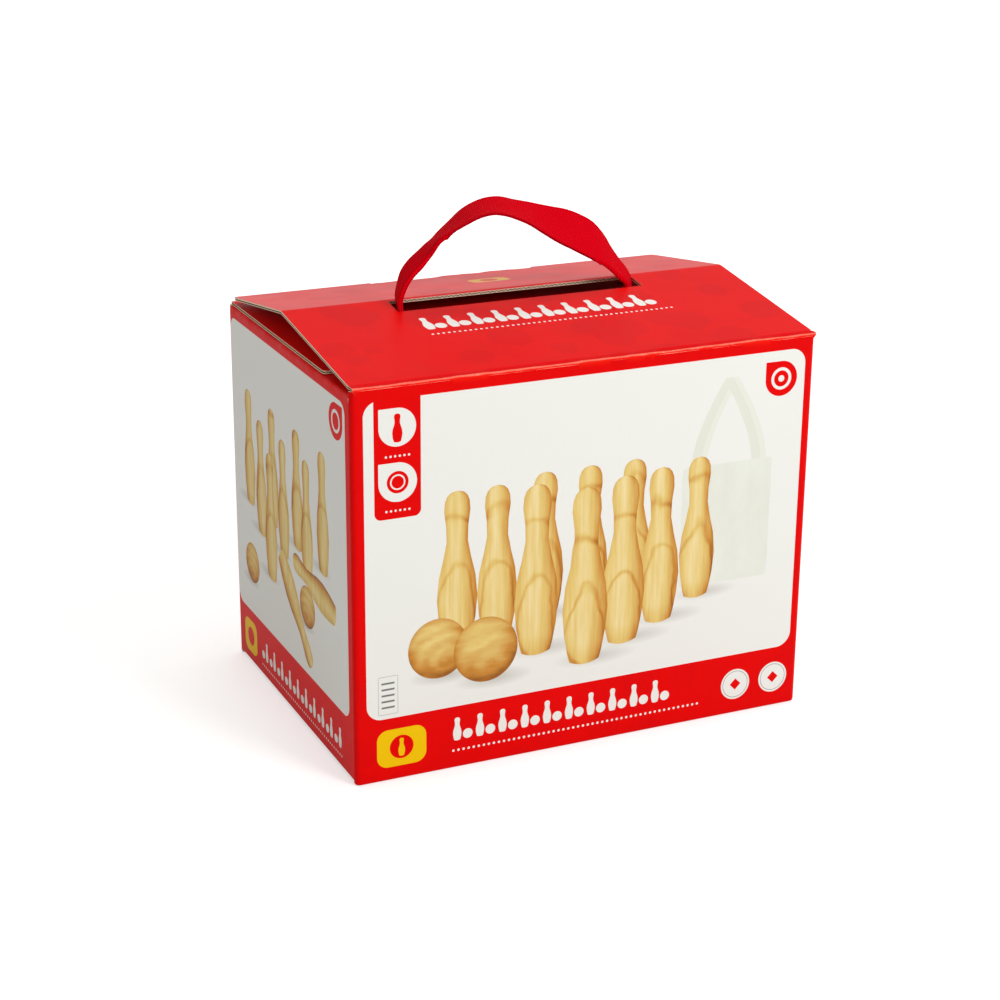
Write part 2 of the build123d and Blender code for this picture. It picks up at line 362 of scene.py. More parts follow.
def printed_bag(under, place, x, z, left, right, low, high):
    """A pale cloth bag with two long handles, behind the pins."""
    soft = (noise(place, 0.06) - 0.5) * 3
    cloth = panel(x + soft, z, left, right, low, high, 1.5)
    middle, half, top = (left + right) / 2 - 1, (right - left) * 0.34, high + 41
    for shift, shade in ((3, ink(234, 235, 224)), (0, ink(229, 231, 218))):
        rise = ((z - high) / (top - high)).highest(0)
        handle = abs(abs(x - middle - shift) - (1 - rise ** 1.6) * half) - 2.5
        under = overprint(under, (handle.highest(high - z).highest(z - top - 1), shade))
    folds = noise(place, 0.05, 3, 0.6, (1.6, 1.6, 0.7)).sloped(2.2, -0.7)
    return overprint(under, (cloth, mix(folds, ink(229, 231, 219), ink(237, 239, 230))))


def printed_ball(under, place, x, z, centre_x, centre_z, radius):
    """A printed ball with its shadow."""
    right, up = x - centre_x, z - centre_z
    under = ground_shadow(under, right - radius * 0.25, up + radius * 0.93, radius * 1.25, radius * 0.32,
                          0.5, ink(140, 128, 112))
    across, upwards = right / radius, up / radius
    bulge = (1 - across * across - upwards * upwards).highest(0).math("SQRT")
    light = 0.14 + (bulge * 0.62 + upwards * 0.30 - across * 0.10).highest(0) * 0.78
    warp = noise(place, 0.05)
    rings = (length_of(across - 0.2, (upwards + 0.45) * 1.3) * 11 + warp * 7).sine() * 0.11
    tone = noise(place, 0.12, 3, 0.6, (1.0, 1.0, 3.0)) * 0.7 + 0.15 + rings
    return overprint(under, (disc(x, z, centre_x, centre_z, radius), picture_wood(tone, light)))


def pin_mark(x, z, centre_x, centre_z, height):
    """Distance outside a small plain pin, drawn a little stout."""
    return pin_distance((x - centre_x) * 0.72, z - centre_z + height / 2, height)[0]


def frieze(x, z, start, pitch, count, middle, height):
    """Distance outside a row of small pins and balls in turn."""
    across = repeat(x, start, pitch, count)
    radius = height * 0.215
    balls = disc(across, z, pitch * 0.24, middle - height / 2 + radius, radius)
    return pin_mark(across, z, -pitch * 0.22, middle, height).lowest(balls)


def dotted_line(x, z, start, pitch, count, middle, radius):
    return disc(repeat(x, start, pitch, count), z, 0, middle, radius)


def red_ground(place, strength=0.18):
    """Red print with faint round shapes in a deeper red."""
    inputs = {"Vector": place, "Scale": 1 / 26, "Randomness": 1.0}
    spread = place.node("ShaderNodeTexVoronoi", {"feature": "F1"}, inputs)
    spots = (spread + (noise(place, 0.12, 3, 0.6) - 0.5) * 0.22).sloped(-14, 6.2)
    cloudy = noise(place, 0.035).sloped(5, -2.3)
    speck = noise(place, 0.9, 2, 0.6)
    return mix((spots * 0.65 + cloudy * 0.5) * strength + (speck - 0.5) * 0.10, red_ink, deep_red_ink)


def picture_ground(place, x, z, sheet, middle_x, middle_z, reach):
    """A white sheet in the red print, a little warmer round the middle of its picture."""
    inside = inked(sheet)
    warm = (1 - abs(z - middle_z) / 40).clamp() * (1 - abs(x - middle_x) / reach).clamp() * 0.10
    return mix(warm * inside, mix(inside, red_ground(place), white_paper), warm_paper)


def varnish(made, place, colour, washboard, gloss=print_gloss):
    """Print under varnish: faint ripples over the flutes and slight unevenness of the board."""
    wavy = noise(place, 0.016) * 0.35
    ripple = (washboard * flute_turn).sine() * 0.0024
    dull = 0.36 + (noise(place, 0.05) - 0.5) * 0.08
    return finish(made, colour, dull, wavy + ripple, Specular_IOR_Level=gloss)


# Rows of printed pins, from the back: first cell, pitch, number of pins, foot and height
picture_rows = [(83, 23, 3, 70, 71), (40.5, 20, 2, 64, 74), (165, 20, 1, 67.5, 70), (145, 20, 1, 58, 77),
                (79, 23, 1, 52.5, 83), (124.5, 23, 1, 50.5, 83), (104, 24, 1, 43.5, 87)]
side_rows = [(21, 35, 4, 92, 59), (44, 33, 3, 81, 59), (96, 34, 1, 62, 65)]
# Printed balls: middle and radius
picture_balls = [(41, 62.5, 14.8), (65, 58, 16.2)]
side_balls = [(144, 59, 10.5), (62, 66, 10.5)]
# Printed pins that lie: foot, lean and height
lying_pins = [(24, 76, 82, 58), (99, 80, 224, 60)]


def end_print(name, mirrored):
    """Front and back walls, x from the left edge and z from the base."""
    made, place = begin(name)
    x, z = numbers(place, "XZ")
    x = half_width / mm - x if mirrored else x + half_width / mm
    shade = picture_ground(place, x, z, panel(x, z, 5.7, 230, 31.8, 184.7, 7.5), 118, 64, 110)
    shade = printed_bag(shade, place, x, z, 166, 214, 72, 132.5)
    for row in picture_rows:
        shade = pin_row(shade, place, x, z, *row)
    for ball in picture_balls:
        shade = printed_ball(shade, place, x, z, *ball)
    # Red tab with two white drops
    middle = 21.8
    shade = overprint(shade, (panel(x, z, 10.6, 32.9, 129, 200, 3.2), red_ground(place)))
    for height, radius in ((171.5, 8.9), (146, 9.2)):
        shade = overprint(
            shade,
            (drop(x, z, middle, height, radius), white_paper),
            (dotted_line(x, z, middle - 6.6, 2.2, 6, height - 13.3, 0.55), white_paper))
    shade = overprint(
        shade,
        (pin_mark(x, z, middle, 171.3, 13), red_ink),
        (disc(x, z, middle, 146, 5.2), red_ink),
        (ring(x, z, middle, 146, 3.3, 0.35), white_paper),
        # Red drop at the top right
        (drop(x, z, 217.2, 170.9, 8.6), red_ink),
        (ring(x, z, 217.2, 170.9, 4.7, 0.75), white_paper),
        (disc(x, z, 217.2, 170.9, 1.6), white_paper),
        # Band at the foot
        (frieze(x, z, 47.4, 11.6, 10, 20.2, 11.5), white_paper),
        (dotted_line(x, z, 47.4, 2.6, 51, 9.2, 0.62), white_paper),
        (panel(x, z, 10.5, 35, 7, 26, 5.5), yellow_ink),
        (disc(x, z, 22.7, 16.5, 5.9), red_ink),
        (pin_mark(x, z, 22.7, 16.5, 9), yellow_ink))
    for right, up in ((199.9, 15.8), (221.2, 15.9)):
        shade = overprint(
            shade,
            (disc(x, z, right, up, 8), white_paper),
            (ring(x, z, right, up, 6.9, 0.12), grey_ink),
            (abs(x - right) + abs(z - up) - 3, red_ink))
    # Small outlined label
    label = panel(x, z, 11.4, 21.1, 34, 53, 0.7)
    shade = mix(inked(abs(label) - 0.15) * inked(label), shade, grey_ink)
    lines = abs(repeat(z, 36, 3, 5)) - 0.45
    shade = overprint(shade, (lines.highest(abs(x - 16.2) - 3.2), grey_ink))
    return varnish(made, place, shade, x)


def side_print(name):
    """Side walls, from the front edge and from the base."""
    made, place = begin(name)
    y, z = numbers(place, "YZ")
    back = y + half_depth / mm
    shade = picture_ground(place, back, z, panel(back, z, 7.4, 167.5, 31, 182.5, 6), 88, 60, 75)
    for row in side_rows:
        shade = pin_row(shade, place, back, z, *row)
    for ball in side_balls:
        shade = printed_ball(shade, place, back, z, *ball)
    for pin in lying_pins:
        shade = lying_pin(shade, place, back, z, *pin)
    shade = overprint(
        shade,
        (drop(back, z, 18.9, 171.4, 8.6), red_ink),
        (ring(back, z, 18.9, 171.4, 4.7, 0.75), white_paper),
        (frieze(back, z, 17, 11.7, 10, 16.5, 10), white_paper),
        (dotted_line(back, z, 17, 2.6, 45, 7.6, 0.55), white_paper),
        (panel(back, z, 141, 160, 7, 25, 5), yellow_ink),
        (disc(back, z, 150.5, 16, 5), red_ink))
    return varnish(made, place, shade, back)


def lid_print(name):
    """Both slopes of the lid, from the left edge and from the front fold."""
    made, place = begin(name)
    x, y = numbers(place, "XY")
    x, back = x + half_width / mm, y + half_depth / mm
    shade = overprint(
        red_ground(place, 0.34),
        (frieze(x, back, 57, 12.2, 10, 59, 13.5), white_paper),
        (dotted_line(x, back, 57, 2.7, 47, 46.5, 0.65), white_paper),
        (panel(x, back, 112, 132, 119, 133, 4), ink(236, 176, 20)),
        (disc(x, back, 122, 126, 4.5), red_ink))
    return varnish(made, place, shade, x, lid_gloss)


def plain_print(name):
    made, place = begin(name)
    return varnish(made, place, red_ground(place), numbers(place, "X")[0])


def creased_print(name):
    """Red print over a sharp fold, with a pale line that is part cracked print and part painted highlight,
    painted light towards the wall and painted shade above.
    """
    made, place = begin(name)
    beyond = laid_flat(place, "fold")[1]
    wear_and_highlight_wobble = noise(place, 0.12, 3, 0.6)
    near = (1 - abs(beyond) / 2.6).clamp()
    # Painted light and shade of the fold: brighter red towards the wall, deeper red above it.
    shade = mix((beyond * 1.2 + 0.5).clamp(), ink(246, 28, 8), ink(208, 0, 14))
    shade = mix(near, red_ground(place), shade)
    # The pale line is cracked print and a painted highlight in one; the paler flecks along it are painted
    # glints.
    crack_and_highlight = (1.25 - abs(beyond + (wear_and_highlight_wobble - 0.5) * 0.4) / (wear_and_highlight_wobble * 0.42 + 0.06)).clamp()
    flakes_and_glints = noise(place, 0.9, 2, 0.6).sloped(5, -2.9)
    shade = mix(crack_and_highlight, shade, mix(flakes_and_glints, ink(255, 118, 96), ink(255, 190, 170)))
    return varnish(made, place, shade, numbers(place, "X")[0])


def liner_paper(name, light, dark):
    """Unprinted paper with fibres and specks; the flutes show through as faint stripes."""
    made, place = begin(name)
    fibres = noise(place, 1.1, 4, 0.65, (1.0, 0.35, 1.0))
    specks = noise(place, 2.3, 1).sloped(9, -5.9)
    stripes = (numbers(place, "X")[0] * flute_turn).sine() * 0.06
    shade = mix(((fibres - 0.5) * 1.6 + 0.5 + stripes).clamp(), light, dark)
    shade = mix(specks * 0.5, shade, ink(120, 90, 60))
    return finish(made, shade, 0.82 + (fibres - 0.5) * 0.2, fibres * 0.02 + stripes * 0.1)


print_front = end_print("front_print", mirrored=False)
print_back = end_print("back_print", mirrored=True)
print_side = side_print("side_print")
print_lid = lid_print("lid_print")
print_plain = plain_print("plain_print")
print_creased = creased_print("creased_print")
plain_liner = liner_paper("plain_liner", ink(214, 188, 152), ink(190, 160, 122))
cut_edge = liner_paper("cut_edge", ink(255, 236, 210), ink(236, 206, 172))
flute_paper = liner_paper("flute_paper", ink(158, 118, 82), ink(122, 86, 56))
# Dark paper for the flute tunnels of the crown: painted shade, darker than the flute paper's own brown.
flute_shade_paper = liner_paper("flute_shade_paper", ink(92, 62, 40), ink(66, 42, 26))
board_coats = (print_plain, plain_liner, cut_edge, flute_paper)
lid_coats = (print_lid, *board_coats[1:])


# ---- Board ----

def even_lines(low, high, count):
    return [low + (high - low) * number / count for number in range(count + 1)]


def in_hole(point, hole):
    left, right, low, high = hole
    return left < point.x < right and low < point.y < high


def paper(bm, across, along, low, high, holes=(), trims=(), wave=0.0, coats=(printed, plain, cut)):
    """A sheet on these grid lines, from one level to another.

    coats are the materials above, below and round it. A trim cuts off what lies beyond its point.
    """
    old = set(bm.faces)
    columns, rows = len(across) - 1, len(along) - 1
    grid = bmesh.ops.create_grid(bm, x_segments=columns, y_segments=rows, size=0.5)
    for vert in grid["verts"]:
        x = across[round((vert.co.x + 0.5) * columns)]
        y = along[round((vert.co.y + 0.5) * rows)]
        vert.co = (x, y, high + wave * sin(2 * pi * x / flute_pitch))
    holed = [f for f in bm.faces if f not in old and any(in_hole(f.calc_center_median(), h) for h in holes)]
    bmesh.ops.delete(bm, geom=holed, context="FACES")
    for point, outwards in trims:
        sheet = [f for f in bm.faces if f not in old]
        parts = sheet + list({e for f in sheet for e in f.edges}) + list({v for f in sheet for v in f.verts})
        bmesh.ops.bisect_plane(bm, geom=parts, plane_co=point, plane_no=outwards, clear_outer=True)
    sheet = [f for f in bm.faces if f not in old]
    bmesh.ops.solidify(bm, geom=sheet, thickness=high - low)
    for face in bm.faces:
        if face not in old:
            face.normal_update()
            rise = face.normal.z
            face.material_index = coats[0] if rise > 0.4 else coats[1] if rise < -0.4 else coats[2]


def fluted_board(bm, across, along, holes=(), trims=()):
    """Two liners with the waved medium between them, laid flat with the print upwards."""
    paper(bm, across, along, board - liner, board, holes, trims)
    paper(bm, across, along, 0, liner, holes, trims, coats=(fluted, plain, cut))
    count = round((across[-1] - across[0]) / flute_pitch * steps_per_flute)
    lines = sorted({*even_lines(across[0], across[-1], count), *across[1:-1]})
    height = (board - 2 * liner - medium) / 2
    level = (board + medium) / 2
    paper(bm, lines, along, level - medium, level, holes, trims, height, (fluted, fluted, cut))


def round_corners(half, end, radius, steps=3):
    """Trims that round off the two corners at the far end of a board."""
    trims = []
    for side in (-1, 1):
        middle = Vector((side * (half - radius), end - radius, 0))
        for step in range(1, steps + 1):
            turn = step / (steps + 1) * pi / 2
            outwards = Vector((side * cos(turn), sin(turn), 0))
            trims.append((middle + outwards * radius, outwards))
    return trims


def map_flat(bm, name, place=lambda point: point.xy):
    """A flat map of the piece in metres, from where its points lie before they are put in place."""
    uv = bm.loops.layers.uv.new(name)
    for face in bm.faces:
        for loop in face.loops:
            loop[uv].uv = place(loop.vert.co)


class Crease:
    """The rounded path of board over a fold, seen along the fold line.

    Distances run along the path from where the bend starts. Levels go from 0 on the plain face to the
    board's thickness on the printed one.
    """

    def __init__(self, corner, first, first_level, second, second_level, radius):
        self.first, self.turn, self.radius = first, second - first, radius
        a, b = first_level - radius, second_level - radius
        width = sin(second - first)
        self.middle = Vector((
            corner[0] + (a * sin(second) - b * sin(first)) / width,
            corner[1] + (b * cos(first) - a * cos(second)) / width,
        ))
        self.length = abs(self.turn) * (radius + board / 2)

    def place(self, distance, level):
        share = min(max(distance / self.length, 0), 1)
        angle = self.first + share * self.turn
        outwards = Vector((cos(angle), sin(angle)))
        forwards = Vector((-outwards.y, outwards.x)) * copysign(1, self.turn)
        return self.middle + outwards * (self.radius + level) + forwards * (distance - share * self.length)

    def laid(self, place):
        """Puts flat work over the fold, its first direction along the fold line."""
        return lambda x, distance, level: place(x, *self.place(distance, level))

    def distance_to(self, point):
        """How far along the second straight run a point lies."""
        start = self.place(self.length, 0)
        forwards = self.place(self.length + mm, 0) - start
        return self.length + (point - start).dot(forwards.normalized())

    def lines(self):
        """Grid lines over the bend and a short run on each side of it."""
        before = even_lines(-fold_run, 0, run_steps)[:-1]
        after = even_lines(self.length, self.length + fold_run, run_steps)[1:]
        return before + even_lines(0, self.length, bend_steps) + after

    def rise(self, distance):
        """1 in the middle of the fold, falling smoothly to 0 at the ends of its strip."""
        half = self.length / 2 + fold_run
        return max(cos(pi / 2 * (distance - self.length / 2) / half), 0) ** 2


def piece(name, bm, coats, slot, body=None, stands_for=(), place=None, sharp=40):
    """Puts the flat work in its place and makes it an object that rides on a body."""
    if place:
        for vert in bm.verts:
            vert.co = place(*vert.co)
    mesh = bpy.data.meshes.new(name)
    bm.to_mesh(mesh)
    bm.free()
    for coat in coats:
        mesh.materials.append(coat)
    mesh.shade_smooth()
    mesh.set_sharp_from_angle(angle=radians(sharp))
    made = bpy.data.objects.new(name, mesh)
    bpy.context.scene.collection.objects.link(made)
    if body:
        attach(made, body)
    if stands_for:
        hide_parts(*stands_for)
    return made


def coat_solids(coat, *nodes):
    """Solids that keep their own meshes get a material."""
    for node in nodes:
        coats = frame["nodes"][node].data.materials
        coats.clear()
        coats.append(coat)


# Directions of the printed faces, seen from the right: 0 is +Y, a quarter turn is up
lid_corner, ridge_corner, tab_corner = (
    Vector((hinge[name].y, hinge[name].z)) for name in ("lid_fold", "ridge_fold", "lock_tab_fold"))
front_rise, back_fall = ridge_corner - lid_corner, tab_corner - ridge_corner
upwards = pi / 2
front_slope = upwards + Vector((1, 0)).angle(front_rise)
back_slope = upwards - Vector((1, 0)).angle(back_fall)
tab_play = 0.3 * mm

lid_crease = Crease(lid_corner, pi, fold_inset - board, front_slope, 0, fold_radius)
ridge_crease = Crease(ridge_corner, front_slope, 0, back_slope, 0, ridge_radius)
tab_crease = Crease(tab_corner, back_slope, 0, 0, -tab_play - board, fold_radius)
flap_corner = Vector((hinge["inner_flap_fold"].y, hinge["inner_flap_fold"].z))
flap_crease = Crease(flap_corner, 0, fold_inset - board, upwards, 0, fold_radius)
dust_corner = Vector((hinge["dust_flap_right_fold"].x, hinge["dust_flap_right_fold"].z))
dust_crease = Crease(dust_corner, 0, fold_inset - board, upwards, 0, fold_radius)

# Waves along a fold: wavelength, share of its swell and phase
fold_dents = [(71 * mm, 0.34, 0.6), (29 * mm, 0.28, 2.1), (12.5 * mm, 0.14, 4.0), (6.1 * mm, 0.06, 1.0)]


def uneven(x):
    return 1 + sum(share * sin(2 * pi * x / length + phase) for length, share, phase in fold_dents)


def fold_strip(name, crease, half, place, coats=board_coats, corner=0, nub=0):
    """The board over a fold, laid round the fold's rounded path.

    On the side of the first body it stops short of the ends by the length given as corner. At the right end
    it is squeezed out by the length given as nub.
    """
    bm = bmesh.new()
    middle_lines = even_lines(0.3 * mm - half, half - nub_run, round(2 * half / strip_step))
    along = [-half, *middle_lines, *even_lines(half - nub_run, half, nub_steps)[1:]]
    rows = crease.lines()
    paper(bm, along, rows, board - liner, board)
    paper(bm, along, rows, core_inset, board - core_inset, coats=(fluted, fluted, fluted))
    paper(bm, along, rows, 0, liner, coats=(fluted, plain, cut))
    map_flat(bm, "fold", lambda point: (point.x, point.y - crease.length / 2))

    def over_fold(x, distance, level):
        rise = crease.rise(distance)
        level *= 1 - fold_crush * rise
        level += rise * fold_swell * uneven(x)
        share = min(max(0.5 - distance / (2 * fold_run), 0), 1)
        end_x = half - corner * share ** 1.5
        x = copysign(min(abs(x), end_x), x)
        last = min(max(1 - (end_x - x) / nub_run, 0), 1)
        if nub and last:
            x += nub * rise ** 0.35 * last
            level = board / 2 + (level - board / 2) * (1 - 0.75 * last * last) ** 0.5
        return place(x, *crease.place(distance, level))
    made = piece(name, bm, coats, "printed_board", place=over_fold)
    start, end = (Vector(place(0, *crease.place(distance, board / 2))) for distance in (0, crease.length))
    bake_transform(made)
    return made


# Where flat work lies along a fold
def along_x(x, y, z):
    return Vector((x, y, z))


def against_x(x, y, z):
    return Vector((-x, y, z))


def along_y_right(y, x, z):
    return Vector((x, y, z))


def along_y_left(y, x, z):
    return Vector((-x, -y, z))


# Walls, standing from the bottom fold to where the top folds begin
straight = half_width - corner_radius
corner_run = corner_radius * pi / 2
bend_lines = even_lines(straight + 0.1 * mm, straight + corner_run, 6)
end_outline = [-x for x in reversed(bend_lines)] + [-straight, straight] + bend_lines
corner_rise = fold_run - 0.1 * mm
side_half = half_depth - corner_radius
side_outline = [-side_half, side_half]


def wall(name, crease, outline, coat, node, place, low, corner_rise=0):
    bm = bmesh.new()
    top = crease.middle.y - fold_run
    bend = foot_radius * pi / 2
    rows = even_lines(0, bend, 6) + [bend + top - low - foot_radius]
    paper(bm, outline, rows, 0, board)

    def upright(x, distance, level):
        turn = min(distance / foot_radius, pi / 2)
        depth = board - level
        inset = foot_radius - (foot_radius - depth) * sin(turn)
        above = max(distance - bend, 0)
        above += corner_rise * above / (rows[-1] - bend) * (abs(x) > straight)
        height = low + foot_radius - (foot_radius - depth) * cos(turn) + above
        return place(x, inset, height)
    return piece(name, bm, (coat, plain_liner, cut_edge), "printed_board", "carton", [node], upright)


def front_place(x, inset, height):
    turn = max(abs(x) - straight, 0) / corner_radius
    radius = corner_radius - inset
    across = min(abs(x), straight) + radius * sin(turn)
    return Vector((copysign(across, x), corner_radius - half_depth - radius * cos(turn), height))


def back_place(x, inset, height):
    point = front_place(x, inset, height)
    return Vector((-point.x, -point.y, point.z))


def left_place(x, inset, height):
    return Vector((inset - half_width, -x, height))


def right_place(x, inset, height):
    return Vector((half_width - inset, x, height))


wall("front_panel", lid_crease, end_outline, print_front, "front_wall", front_place, 0, corner_rise)
wall("back_panel", flap_crease, end_outline, print_back, "back_wall", back_place, 0, corner_rise)
wall("left_panel", dust_crease, side_outline, print_side, "left_wall", left_place, board)
wall("right_panel", dust_crease, side_outline, print_side, "right_wall", right_place, board)

# Folds along the wall tops
fold_strip("lid_fold_strip", lid_crease, lid_half_width, along_x,
           (print_creased, *board_coats[1:]), corner_radius - 0.4 * mm, 1.6 * mm)
fold_strip("inner_flap_fold_strip", flap_crease, inner_flap_half_width, against_x,
           corner=corner_radius - 0.5 * mm)
fold_strip("dust_fold_strip_right", dust_crease, side_half, along_y_right)
fold_strip("dust_fold_strip_left", dust_crease, side_half, along_y_left)

# Lid's front slope, open round the strap's slot at its far end
slot_half = 64.5 * mm
slot_depth = 13.5 * mm
front_start = lid_crease.length + fold_run
front_end = lid_crease.distance_to(ridge_crease.place(0, 0)) - crown + ridge_crease.length / 2
slot_start = front_end - slot_depth
bm = bmesh.new()
fluted_board(bm, [-lid_half_width, -slot_half, slot_half, lid_half_width],
             [front_start, slot_start, front_end], [(-slot_half, slot_half, slot_start, front_end)])
piece("lid_front_board", bm, lid_coats, "printed_board", "lid_front", ["lid_front_panel"],
      lid_crease.laid(along_x))

# Crown of the lid over the ridge, its flutes cut open along the slot
bm = bmesh.new()
crown_before = crown - ridge_crease.length / 2
crown_after = 3 * mm
rows = [-crown_before, *even_lines(0, ridge_crease.length, bend_steps), ridge_crease.length + crown_after]
fluted_board(bm, [-lid_half_width, lid_half_width], rows)
# The crown's medium is in the dark flute paper: painted shade in the open flute tunnels.
ridge = piece("ridge_fold_strip", bm, (*lid_coats[:fluted], flute_shade_paper), "printed_board",
              place=ridge_crease.laid(along_x))
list(ridge_crease.place(0, 0))
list(ridge_crease.place(ridge_crease.length, 0))
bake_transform(ridge)

# Lid's back slope, open at its far edge where the lock tab folds down
tab_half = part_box("lock_tab")[1].x
back_start = ridge_crease.length + crown_after
back_end = ridge_crease.distance_to(tab_corner)
tab_start = ridge_crease.distance_to(tab_crease.place(0, 0)) - fold_run
bm = bmesh.new()
fluted_board(bm, [-lid_half_width, -tab_half, tab_half, lid_half_width], [back_start, tab_start, back_end],
             [(-tab_half, tab_half, tab_start, back_end)],
             round_corners(lid_half_width, back_end, corner_radius))
piece("lid_back_board", bm, lid_coats, "printed_board", "lid_back", ["lid_back_panel"],
      ridge_crease.laid(along_x))

# Lock tab and its fold
fold_strip("lock_tab_fold_strip", tab_crease, tab_half, along_x)
tab_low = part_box("lock_tab")[0].z
tab_end = tab_crease.length + tab_crease.place(tab_crease.length, 0).y - tab_low
bm = bmesh.new()
fluted_board(bm, [-tab_half, tab_half], [tab_crease.length + fold_run, tab_end],
             trims=round_corners(tab_half, tab_end, 8 * mm, 5))
piece("lock_tab_board", bm, board_coats, "printed_board", "lock_tab", ["lock_tab"], tab_crease.laid(along_x))

# Inner flap, notched for the lock tab
flap_root = flap_crease.length + flap_crease.place(flap_crease.length, 0).x
flap_end = flap_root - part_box("inner_flap")[0].y
notch_half = tab_half + 2 * mm
notch_run = flap_root - (half_depth - 10 * mm)
bm = bmesh.new()
fluted_board(bm, [-inner_flap_half_width, -notch_half, notch_half, inner_flap_half_width],
             [flap_crease.length + fold_run, notch_run, flap_end], [(-notch_half, notch_half, 0, notch_run)],
             round_corners(inner_flap_half_width, flap_end, corner_radius))
piece("inner_flap_board", bm, board_coats, "printed_board", "inner_flap", ["inner_flap"],
      flap_crease.laid(against_x))

# Dust flaps, drawn in towards their tips
dust_low, dust_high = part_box("dust_flap_right")
dust_half = dust_high.y
dust_end = dust_crease.length + dust_crease.place(dust_crease.length, 0).x - dust_low.x
dust_reach = 62 * mm
for name, sign, place in (("right", 1, along_y_right), ("left", -1, along_y_left)):
    bm = bmesh.new()
    trims = []
    for end, bevel in ((sign, 50 * mm), (-sign, 26 * mm)):
        corner = Vector((end * dust_half, dust_end - dust_reach, 0))
        trims.append((corner, Vector((end * dust_reach, bevel, 0))))
    fluted_board(bm, [-dust_half, dust_half], [dust_crease.length + fold_run, dust_end], trims=trims)
    piece(f"dust_flap_board_{name}", bm, board_coats, "printed_board", f"dust_flap_{name}",
          [f"dust_flap_{name}"], dust_crease.laid(place))

coat_solids(plain_liner, "bottom_flap_front", "bottom_flap_back", "bottom_flap_left", "bottom_flap_right",
            "glue_tab")


# ---- Strap ----

strap_half = 12.5 * mm
strap_thickness = 1.2 * mm
tuck_radius = 0.65 * mm          # of the bend where its front edge is tucked under
full_tuck = 3.4 * mm             # length tucked under at which the edge is turned right round
least_tuck = 1.5 * mm
tucked_steps, bend_strip_steps, flat_steps = 4, 5, 10
strap_y = (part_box("strap_bar_left")[0].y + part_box("strap_bar_left")[1].y) / 2
rows_per_station = 4
# Stations along the strap, from its left end. Each has its distance from the middle, its height above the
# lid's front fold, how far its face turns to the front in degrees, and the width tucked under
strap_stations = [
    (-61.3, 9.3, -19, 12.5), (-62.1, 15.8, -15, 12.5), (-60.5, 22.1, -11, 12.5), (-57.5, 27.9, -3, 12.5),
    (-52.9, 32.7, 1, 12.5), (-47.9, 37.5, -5, 12.3), (-43.2, 42.4, -17, 6.3), (-37.4, 46.2, -14, 0.2),
    (-31.4, 49.9, -10, 0), (-25.4, 53.4, -5, 0), (-18.9, 55.5, 0, 0), (-12.1, 55.9, 7, 0),
    (-5.3, 54.8, 13, 0), (1.3, 52.4, 16, 0), (7.8, 49.7, 22, 0), (14.3, 46.8, 28, 0),
    (20.8, 44.1, 34, 0), (27.4, 41.6, 39, 0), (33.8, 38.5, 41, 0), (39.9, 35.0, 40, 0.1),
    (45.5, 30.8, 34, 2.2), (50.2, 25.5, 30, 5.8), (54.9, 20.1, 29, 9.5), (59.3, 15.2, 29, 12.1),
    (61.3, 9.3, 38, 12.5),
]


def webbing_weave(name):
    """Ribbed webbing: floats in columns, each column half a rib out of step with the next."""
    made, place = begin(name)
    across, along = laid_flat(place, "weave")
    column = across / 1.25
    rounded = abs((column * pi).sine())
    rib = abs(((along / 1.35 + column.math("FLOOR") * 0.5) * pi).sine())
    relief = rounded ** 0.6 * (rib ** 0.7 * 0.7 + 0.3)
    hem = (abs(across - 12.5) - 11.2).sloped(3, 0)
    fuzz = noise(place, 4.0, 3, 0.6)
    # The colour is darker where the weave sinks: painted shade in its hollows.
    shade = mix((relief * 0.8 + fuzz * 0.4 - 0.05).clamp(), ink(142, 0, 14), ink(234, 0, 22))
    shade = mix(hem * 0.3, shade, ink(186, 0, 18))
    return finish(made, shade, 0.78 + (fuzz - 0.5) * 0.2, relief * 0.16 + hem * 0.10 + fuzz * 0.04,
                  Specular_IOR_Level=0.02)


def smooth_rows(stations, steps):
    """Rows along a smooth line through the stations."""
    before, after = [stations[0]] + stations, stations[2:] + [stations[-1]]
    rows = []
    for four in zip(before, stations, stations[1:], after):
        for step in range(steps):
            t = step / steps
            rows.append([
                (2 * q + (r - p) * t + (2 * p - 5 * q + 4 * r - s) * t * t
                 + (3 * q - p - 3 * r + s) * t ** 3) / 2
                for p, q, r, s in zip(*four)
            ])
    return rows + [list(stations[-1])]


strap_rows = smooth_rows(strap_stations, rows_per_station)
strap_line = [Vector((x * mm, strap_y, lid_corner.y + z * mm)) for x, z, turn, tuck in strap_rows]
strap_lengths = [0]
for one, other in zip(strap_line, strap_line[1:]):
    strap_lengths.append(strap_lengths[-1] + (other - one).length)


def bend_width(tuck):
    return min(tuck * 0.6, pi * tuck_radius)


def strap_across(column, tuck):
    """Place across the webbing of a mesh column: columns share out the tucked part, the bend and the flat."""
    crease, bend = tuck - strap_half, bend_width(tuck)
    if column <= tucked_steps:
        return -strap_half + (tuck - bend) * column / tucked_steps
    column -= tucked_steps
    if column <= bend_strip_steps:
        return crease - bend + bend * column / bend_strip_steps
    return crease + (strap_half - crease) * (column - bend_strip_steps) / flat_steps


def strap_section(column, tuck):
    """Sideways and outward place of a column of the webbing, and how far it has turned under."""
    turned = pi * min(tuck / full_tuck, 1)
    tuck = max(tuck, least_tuck)
    across, crease = strap_across(column, tuck), tuck - strap_half
    if across >= crease or turned < 0.01:
        return across, 0.0, 0.0
    bend = bend_width(tuck)
    radius = bend / turned
    tilt = turned * min((crease - across) / bend, 1)
    rest = max(crease - across - bend, 0)
    return (crease - radius * sin(tilt) - rest * cos(tilt),
            radius * (cos(tilt) - 1) - rest * sin(tilt), tilt)


